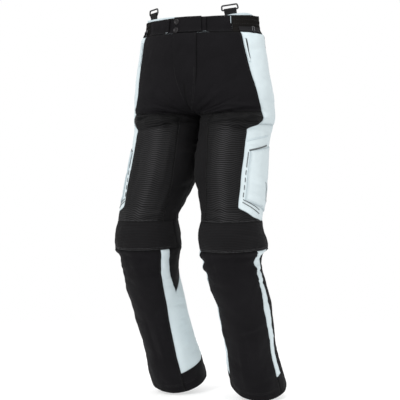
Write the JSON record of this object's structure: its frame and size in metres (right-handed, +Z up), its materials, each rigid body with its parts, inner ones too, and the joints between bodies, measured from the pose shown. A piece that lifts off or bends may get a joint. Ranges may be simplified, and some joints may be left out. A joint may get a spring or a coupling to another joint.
{
  "type": "motorcycle trousers",
  "caption": "Textile motorcycle trousers with bent knees, mesh thighs, pale side panels, cargo pockets and wire rings for braces, worn by no one and standing hollow.",
  "frame": {"origin": "middle of the waist opening, at the height of the waistband's back edge", "axes": "+Z up from hem to waist, +X to the wearer's left, -Y to the wearer's front"},
  "size_m": [0.4438, 0.3817, 1.0995],
  "materials": {
    "shell_dark": "woven textile, matt, near black",
    "shell_pale": "woven textile, pale blue-grey",
    "mesh_dark": "open mesh textile with level ribs, dark grey",
    "stretch_dark": "ribbed stretch textile, near black",
    "facing_pale": "soft lining cloth, pale grey",
    "elastic_dark": "gathered elastic waistband cloth, brownish black",
    "webbing_dark": "flat woven webbing, near black",
    "ring_metal": "bent steel wire, dark nickel",
    "snap_metal": "pressed snap caps, dark nickel"
  },
  "bodies": {
    "garment": {"front_yoke_r": "shell_dark", "hip_side_r": "shell_pale", "seat_r": "shell_dark", "thigh_mesh_r": "mesh_dark", "thigh_inner_r": "stretch_dark", "thigh_back_r": "shell_dark", "thigh_side_r": "shell_pale", "cargo_pocket_r": "shell_pale", "pocket_welt_r": "shell_pale", "knee_front_r": "stretch_dark", "knee_back_r": "shell_dark", "gusset_r": "shell_pale", "knee_wedge_r": "stretch_dark", "shin_r": "shell_dark", "outer_stripe_r": "shell_pale", "calf_r": "shell_dark", "hem_guard_r": "shell_dark", "front_yoke_l": "shell_dark", "hip_side_l": "shell_pale", "seat_l": "shell_dark", "thigh_mesh_l": "mesh_dark", "thigh_inner_l": "stretch_dark", "thigh_back_l": "shell_dark", "thigh_side_l": "shell_pale", "cargo_pocket_l": "shell_pale", "pocket_welt_l": "shell_pale", "knee_front_l": "stretch_dark", "knee_back_l": "shell_dark", "gusset_l": "shell_pale", "knee_wedge_l": "stretch_dark", "shin_l": "shell_dark", "outer_stripe_l": "shell_pale", "calf_l": "shell_dark", "hem_guard_l": "shell_dark", "waistband_front_r": "shell_dark", "waistband_front_l": "shell_dark", "waistband_side_r": "elastic_dark", "waistband_side_l": "elastic_dark", "waistband_back": "shell_dark", "waist_facing": "facing_pale", "waist_tab": "shell_dark", "fly_placket": "shell_dark", "belt_loop_front_r": "shell_dark", "belt_loop_front_l": "shell_dark", "belt_loop_back_r": "shell_dark", "belt_loop_back_l": "shell_dark", "adjuster_r": "webbing_dark", "adjuster_l": "webbing_dark", "snap_upper": "snap_metal", "snap_lower": "snap_metal", "brace_loop_r": "webbing_dark", "brace_loop_l": "webbing_dark"},
    "ring_r": {"brace_ring_r": "ring_metal"},
    "ring_l": {"brace_ring_l": "ring_metal"}
  },
  "joints": [
    {"name": "ring_r_swing", "type": "hinge", "parent": "garment", "child": "ring_r", "pos_m": [-0.12097, -0.03453, 0.01067], "axis": [0.8299, -0.5557, 0.05], "range_deg": [-70, 70]},
    {"name": "ring_l_swing", "type": "hinge", "parent": "garment", "child": "ring_l", "pos_m": [0.11388, -0.03902, 0.01052], "axis": [0.8417, 0.5128, 0.1692], "range_deg": [-70, 70]}
  ]
}
